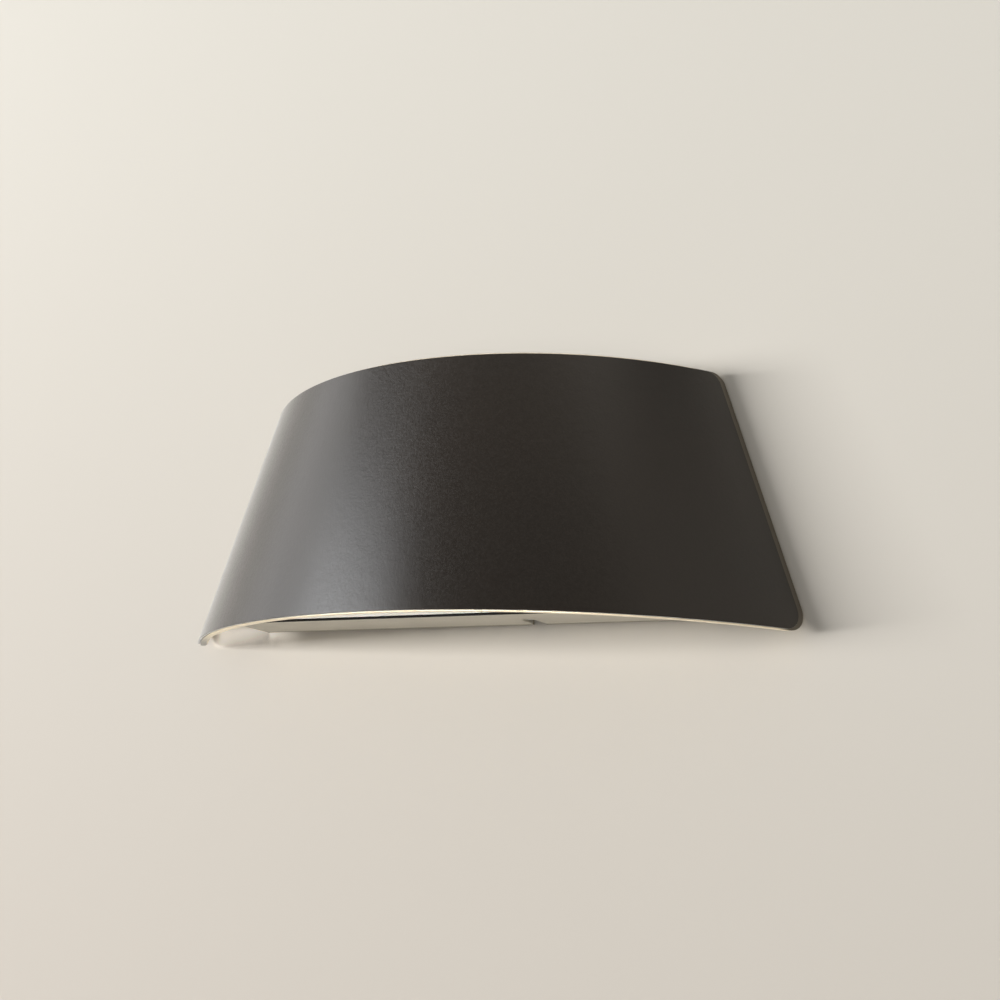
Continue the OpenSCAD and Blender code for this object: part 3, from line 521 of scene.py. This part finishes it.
def finishPiece(pieceName, nodeName, mesh, smoothTurn):
    # smooth shading with hard corners, then the piece takes the node's place, body and finish
    mesh.shade_smooth()
    mesh.set_sharp_from_angle(angle=math.radians(smoothTurn))
    piece = bpy.data.objects.new(pieceName, mesh)
    scene.collection.objects.link(piece)
    even = piece.modifiers.new("evenNormals", "WEIGHTED_NORMAL")
    even.keep_sharp = True
    dress(piece, slotOfNode[nodeName])
    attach(piece, bodyOfNode[nodeName])
    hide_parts(nodeName)


# points on the shade by height, angle from straight in front and depth under the outer surface
def sizeAt(height):
    return 1 - (1 - shadeForm["topWidth"] / shadeForm["width"]) * height / shadeForm["height"]


def onShade(height, angle, depth):
    radius = shadeForm["radius"] * sizeAt(height) - depth
    middle = shadeForm["centre"] * sizeAt(height)
    return Vector((radius * math.sin(angle), middle - radius * math.cos(angle),
                   height - shadeForm["edgeToOrigin"])) * mm


def endAngle(height, depth, gap):
    fromCentre = shadeForm["centre"] * sizeAt(height) + gap
    return math.acos(fromCentre / (shadeForm["radius"] * sizeAt(height) - depth))


def roundCorner(across, along):
    # moves a point of a square corner, 0 to 1 each way, into a quarter of a disc
    return across * math.sqrt(1 - along * along / 2), along * math.sqrt(1 - across * across / 2)


def platePoint(plate, across, along, depth):
    # across and along run 0 to 1 from the left end and the lower edge
    steps = plate["cornerSteps"]
    columns, rows = plate["columns"], plate["rows"]
    column, row = across * columns, along * rows
    bodyHeight = plate["high"] - plate["low"] - plate["lowCorner"] - plate["topCorner"]
    lowBlock, topBlock = row <= steps, row >= rows - steps
    if lowBlock:
        fromEdge, corner = plate["lowCorner"] * row / steps, plate["lowCorner"]
    elif topBlock:
        fromEdge, corner = plate["topCorner"] * (rows - row) / steps, plate["topCorner"]
    else:
        share = (row - steps) / (rows - 2 * steps)
        corner = plate["lowCorner"] + (plate["topCorner"] - plate["lowCorner"]) * share
        fromEdge = plate["lowCorner"] + bodyHeight * share
    leftSide = column < columns / 2
    fromEnd = min(column, columns - column)
    inset = corner * min(fromEnd / steps, 1)
    if fromEnd <= steps and (lowBlock or topBlock):
        u, v = roundCorner(1 - inset / corner, 1 - fromEdge / corner)
        inset, fromEdge = corner * (1 - u), corner * (1 - v)
    height = plate["high"] - fromEdge if topBlock else plate["low"] + fromEdge
    radius = shadeForm["radius"] * sizeAt(height) - depth
    limit = endAngle(height, depth, plate["wallGap"])
    if fromEnd <= steps:
        angle = limit - inset / radius
    else:
        inner = limit - corner / radius
        angle = inner * (1 - 2 * (fromEnd - steps) / (columns - 2 * steps))
    return onShade(height, -angle if leftSide else angle, depth)


def curvedPlate(plate):
    # a flat grid one unit wide and its copy one unit above become the outer and the inner face
    shape = bmesh.new()
    bmesh.ops.create_grid(shape, x_segments=plate["columns"], y_segments=plate["rows"], size=0.5)
    shape.faces.ensure_lookup_table()
    grown = bmesh.ops.extrude_face_region(shape, geom=shape.faces[:] + shape.edges[:] + shape.verts[:],
                                          use_keep_orig=True)
    fresh = [item for item in grown["geom"] if isinstance(item, bmesh.types.BMVert)]
    bmesh.ops.translate(shape, verts=fresh, vec=(0, 0, 1))
    for vert in shape.verts:
        depth = plate["inner"] if vert.co.z > 0.5 else plate["outer"]
        vert.co = platePoint(plate, vert.co.x + 0.5, vert.co.y + 0.5, depth)
    bmesh.ops.recalc_face_normals(shape, faces=shape.faces)
    breakEdges(shape, plate)
    return meshFrom(shape, plate["name"])


plateGrid = {"columns": 150, "rows": 26, "cornerSteps": 5, "turn": 50, "smooth": 40}
coverPlate = {"name": "shadeCover", "outer": 0, "inner": 1.2, "low": 0.35, "high": 109.1, "wallGap": 4.5,
              "lowCorner": 9, "topCorner": 4.5, "edge": 0.2, "steps": 3, **plateGrid}
shellPlate = {"name": "shadeShell", "outer": 1.4, "inner": 4.2, "low": 0, "high": 110, "wallGap": 0.6,
              "lowCorner": 10, "topCorner": 5, "edge": 0.4, "steps": 4, **plateGrid}
for nodeName, plate in (("shade_cover", coverPlate), ("shade_shell", shellPlate)):
    finishPiece(plate["name"], nodeName, curvedPlate(plate), plate["smooth"])
print("shade plates modelled")

cleaning = {"weld": 0.000001, "flatTurn": 0.5, "smooth": 32}


def softened(pieceName, look):
    # a copy of the node's mesh with its hard edges broken, as a press, mould or spray coat leaves them
    shape = bmesh.new()
    shape.from_mesh(nodes[look["node"]].data)
    bmesh.ops.remove_doubles(shape, verts=shape.verts, dist=cleaning["weld"])
    bmesh.ops.dissolve_limit(shape, angle_limit=math.radians(cleaning["flatTurn"]), verts=shape.verts,
                             edges=shape.edges)
    breakEdges(shape, look)
    finishPiece(pieceName, look["node"], meshFrom(shape, pieceName), cleaning["smooth"])


softEdges = {
    "backBox": {"node": "back_box", "edge": 0.45, "steps": 3, "turn": 40},
    "boxGasket": {"node": "box_gasket", "edge": 0.25, "steps": 2, "turn": 40},
    "wallBracket": {"node": "wall_bracket", "edge": 0.2, "steps": 2, "turn": 40},
    "topCap": {"node": "top_cap", "edge": 0.3, "steps": 2, "turn": 40},
    "ledTray": {"node": "led_tray", "edge": 0.25, "steps": 2, "turn": 40},
    "glareBaffle": {"node": "glare_baffle", "edge": 0.3, "steps": 2, "turn": 40},
    "frontSkirt": {"node": "front_skirt", "edge": 0.15, "steps": 2, "turn": 40},
    "frontLiner": {"node": "front_liner", "edge": 0.15, "steps": 2, "turn": 40},
    "driverCase": {"node": "driver", "edge": 0.35, "steps": 3, "turn": 40},
    "terminalBlock": {"node": "terminal_block", "edge": 0.2, "steps": 2, "turn": 40},
    "cordClamp": {"node": "cord_clamp", "edge": 0.3, "steps": 2, "turn": 40},
    "shadeLugs": {"node": "shade_lugs", "edge": 0.25, "steps": 2, "turn": 40},
    "diffuserPanel": {"node": "diffuser", "edge": 0.3, "steps": 2, "turn": 40},
    "cableGrommet": {"node": "cable_grommet", "edge": 0.3, "steps": 2, "turn": 30},
    "leadGrommet": {"node": "lead_grommet", "edge": 0.12, "steps": 2, "turn": 40},
    "lockScrew": {"node": "lock_screw", "edge": 0.15, "steps": 2, "turn": 40},
}
for pieceName, look in softEdges.items():
    softened(pieceName, look)
print("edges softened on", len(softEdges), "pieces")


# stage: a wall that shows only from the front, open behind the box, and a floor far below; metres, but the
# hole and the bounce are in millimetres. The bounce is light that the bright inside of the shell throws back
# on the wall at the left end of the mouth, and it shows only where a piece stands close before the wall
bounceSpot = {"left": (-143.5, -136.0), "right": (-112.0, -86.0), "low": (-51.4, -48.6),
              "high": (-42.5, -37.0), "reach": 30.0, "samples": 16, "shut": (0.5, 0.76), "strength": 0.8,
              "colour": tone(214, 207, 196)}
# the wall's two paint colours are painted light and shade: paler upper right, darker lower left
wallStage = {"half": 2.4, "low": -1.8, "high": 2.0, "behind": 0.0005, "fade": (-0.4, 0.4), "slant": -0.3,
             "shadedPaint": tone(208, 201, 192), "litPaint": tone(229, 226, 218),
             "cloudColour": tone(206, 204, 198), "bounce": bounceSpot,
             "hole": [(-105.5, 13.6), (105.5, 13.6), (76.1, 102.5), (-76.1, 102.5)]}
floorStage = {"half": 3.5, "height": -1.8, "fade": (0.0, 1.0), "slant": 0.0,
              "shadedPaint": tone(232, 229, 222), "litPaint": tone(232, 229, 222),
              "cloudColour": tone(220, 217, 210)}
stagePaint = {"rough": 0.75, "specular": 0.2, "cloud": 0.04, "cloudScale": 2.2, "cloudDetail": 3,
              "cloudRough": 0.5, "cloudSpan": (0.3, 0.7)}


def addBounce(tree, shader, axes, spot):
    near = addNode(tree, "ShaderNodeAmbientOcclusion", samples=spot["samples"])
    wire(tree, spot["reach"] * mm, near.inputs["Distance"])
    wide = times(tree, rising(tree, axes["X"], spot["left"]), falling(tree, axes["X"], spot["right"]))
    tall = times(tree, rising(tree, axes["Z"], spot["low"]), falling(tree, axes["Z"], spot["high"]))
    shut = ranged(tree, near.outputs["AO"], *spot["shut"], spot["strength"], 0.0)
    wire(tree, spot["colour"], shader.inputs["Emission Color"])
    wire(tree, times(tree, times(tree, wide, tall), shut), shader.inputs["Emission Strength"])


def chooseShader(tree, factor, first, second, output):
    choose = addNode(tree, "ShaderNodeMixShader")
    for socket, source in zip(choose.inputs, (factor, first, second)):
        wire(tree, source, socket)
    wire(tree, choose.outputs["Shader"], tree.nodes[output].inputs["Surface"])


def stageMaterial(name, look, paint):
    # flat paint with painted light, a little paler towards the upper right, that lets a view from behind
    # pass
    material, tree, shader, place = startMaterial(
        name, {"Roughness": paint["rough"], "Specular IOR Level": paint["specular"]})
    axes = axesOf(tree, place)
    along = maths(tree, "SUBTRACT", axes["Z"], times(tree, axes["X"], look["slant"]))
    shade = blendColour(tree, ranged(tree, along, *look["fade"]), look["shadedPaint"], look["litPaint"])
    noise = noiseOn(tree, place, paint["cloudScale"], paint["cloudDetail"], paint["cloudRough"])
    cloud = ranged(tree, noise, *paint["cloudSpan"], 0.0, paint["cloud"])
    wire(tree, blendColour(tree, cloud, shade, look["cloudColour"]), shader.inputs["Base Color"])
    if "bounce" in look:
        addBounce(tree, shader, axes, look["bounce"])
    fromBehind = addNode(tree, "ShaderNodeNewGeometry").outputs["Backfacing"]
    clear = addNode(tree, "ShaderNodeBsdfTransparent").outputs["BSDF"]
    chooseShader(tree, fromBehind, shader.outputs["BSDF"], clear, "Material Output")
    return material


def wallMesh(look):
    shape = bmesh.new()
    half, low, high = look["half"], look["low"], look["high"]
    corners = [(-half, low), (half, low), (half, high), (-half, high)]
    hole = [(x * mm, (z - shadeForm["edgeToOrigin"]) * mm) for x, z in look["hole"]]
    for outline in (corners, hole):
        ring = bmesh.ops.create_circle(shape, segments=4, radius=1)["verts"]
        for vert, (x, z) in zip(ring, outline):
            vert.co = (x, look["behind"], z)
    bmesh.ops.bridge_loops(shape, edges=shape.edges)
    for face in shape.faces:
        face.normal_update()
        if face.normal.y > 0:
            face.normal_flip()
    return meshFrom(shape, "roomWall")


def floorMesh(look):
    shape = bmesh.new()
    bmesh.ops.create_grid(shape, x_segments=1, y_segments=1, size=look["half"])
    bmesh.ops.translate(shape, verts=shape.verts, vec=(0, 0, look["height"]))
    return meshFrom(shape, "roomFloor")


def addStage():
    wall = bpy.data.objects.new("roomWall", wallMesh(wallStage))
    floor = bpy.data.objects.new("roomFloor", floorMesh(floorStage))
    wall.data.materials.append(stageMaterial("wallPaint", wallStage, stagePaint))
    floor.data.materials.append(stageMaterial("floorPaint", floorStage, stagePaint))
    for item in (wall, floor):
        scene.collection.objects.link(item)
    floor.visible_diffuse = False


addStage()
print("stage made")


# light: a low strip at the left lights the wall, and large panels show only in the sheen of the finishes
# turn is round the object from straight in front, negative to the left; rise is above the horizon
lamps = {
    "wallKey": {"turn": -51, "rise": -0.8, "away": 4.5, "size": (2.0, 0.62), "radiance": 60.0,
                "colour": (1.0, 0.988, 0.97), "reaches": ("pieces", "roomWall"), "sheen": False},
    "frontFill": {"turn": 6, "rise": -15, "away": 3.2, "size": (2.6, 1.2), "radiance": 1.5,
                  "colour": (1.0, 0.985, 0.96), "sheen": False},
    "windowFront": {"turn": -45.5, "rise": 6.5, "away": 2.3, "size": (1.3, 1.6), "radiance": 8.8,
                    "colour": (0.885, 0.935, 1.0), "fill": False},
    "windowSide": {"turn": -78, "rise": 20, "away": 2.3, "size": (1.1, 1.3), "radiance": 2.3,
                   "colour": (0.97, 0.98, 1.0), "fill": False},
    "rightPanel": {"turn": 75, "rise": 20, "away": 2.4, "size": (2.4, 1.6), "radiance": 0.42,
                   "colour": (1.0, 0.93, 0.82), "fill": False},
    "ceilingPanel": {"turn": 0, "rise": 64, "away": 2.4, "size": (3.4, 1.5), "radiance": 0.9,
                     "colour": (1.0, 0.95, 0.88), "fill": False},
    "underFill": {"turn": 8, "rise": -50, "away": 2.2, "size": (2.0, 1.2), "radiance": 4.9,
                  "colour": (1.0, 0.975, 0.95), "reaches": ("pieces",)},
    "rimLight": {"turn": -8, "rise": -58, "away": 2.2, "size": (2.4, 1.2), "radiance": 10.0,
                 "colour": (1.0, 0.96, 0.86), "reaches": ("shadeShell",)},
    "linerLight": {"turn": -8, "rise": -50, "away": 2.2, "size": (2.0, 1.2), "radiance": 4.0,
                   "colour": (1.0, 0.985, 0.95), "reaches": ("frontLiner",)},
    "floorLight": {"turn": 0, "rise": 70, "away": 2.6, "size": (2.4, 2.4), "radiance": 5.0,
                   "colour": (1.0, 0.99, 0.97), "reaches": ("roomFloor",), "sheen": False},
    "backLamp": {"turn": 150, "rise": 28, "away": 2.2, "size": (1.6, 1.6), "radiance": 3.5,
                 "colour": (1.0, 0.99, 0.97), "reaches": ("pieces",)},
}


def addLamp(lampName, lamp):
    data = bpy.data.lights.new(lampName, "AREA")
    data.shape = "RECTANGLE"
    data.size, data.size_y = lamp["size"]
    data.energy = lamp["radiance"] * math.pi * lamp["size"][0] * lamp["size"][1]
    data.color = lamp["colour"]
    item = bpy.data.objects.new(lampName, data)
    turn, rise = math.radians(lamp["turn"]), math.radians(lamp["rise"])
    outward = Vector((math.sin(turn) * math.cos(rise), -math.cos(turn) * math.cos(rise), math.sin(rise)))
    item.location = outward * lamp["away"]
    item.rotation_euler = (-outward).to_track_quat("-Z", "Y").to_euler()
    item.visible_diffuse = lamp.get("fill", True)
    item.visible_glossy = lamp.get("sheen", True)
    if "reaches" in lamp:
        reached = bpy.data.collections.new(lampName + "Reaches")
        for piece in scene.objects:
            inGroup = "pieces" in lamp["reaches"] and piece.name not in ("roomWall", "roomFloor")
            if piece.type == "MESH" and (inGroup or piece.name in lamp["reaches"]):
                reached.objects.link(piece)
        item.light_linking.receiver_collection = reached
    scene.collection.objects.link(item)


for lampName, lamp in lamps.items():
    addLamp(lampName, lamp)
print("lamps made:", len(lamps))

# the room that the finishes reflect: darker before the wall, pale behind it, and near white to the camera
worldLook = {"low": (0.1, 0.096, 0.09, 1), "high": (0.31, 0.302, 0.284, 1), "behind": (0.8, 0.8, 0.8, 1),
             "seen": (0.97, 0.97, 0.96, 1), "riseSpan": (-0.2, 0.8), "behindSpan": (0.0, 0.5)}


def addWorld(look):
    world = bpy.data.worlds.new("paleRoom")
    scene.world = world
    world.use_nodes = True
    tree = world.node_tree
    lit = tree.nodes["Background"]
    axes = axesOf(tree, addNode(tree, "ShaderNodeTexCoord").outputs["Generated"])
    colour = blendColour(tree, ranged(tree, axes["Z"], *look["riseSpan"]), look["low"], look["high"])
    behind = ranged(tree, axes["Y"], *look["behindSpan"])
    wire(tree, blendColour(tree, behind, colour, look["behind"]), lit.inputs["Color"])
    seen = addNode(tree, "ShaderNodeBackground")
    wire(tree, look["seen"], seen.inputs["Color"])
    path = addNode(tree, "ShaderNodeLightPath").outputs
    direct = maths(tree, "MAXIMUM", path["Is Camera Ray"], path["Is Transmission Ray"])
    direct = maths(tree, "MAXIMUM", direct, times(tree, path["Is Glossy Ray"], behind))
    chooseShader(tree, direct, lit.outputs["Background"], seen.outputs["Background"], "World Output")


addWorld(worldLook)
print("world made")
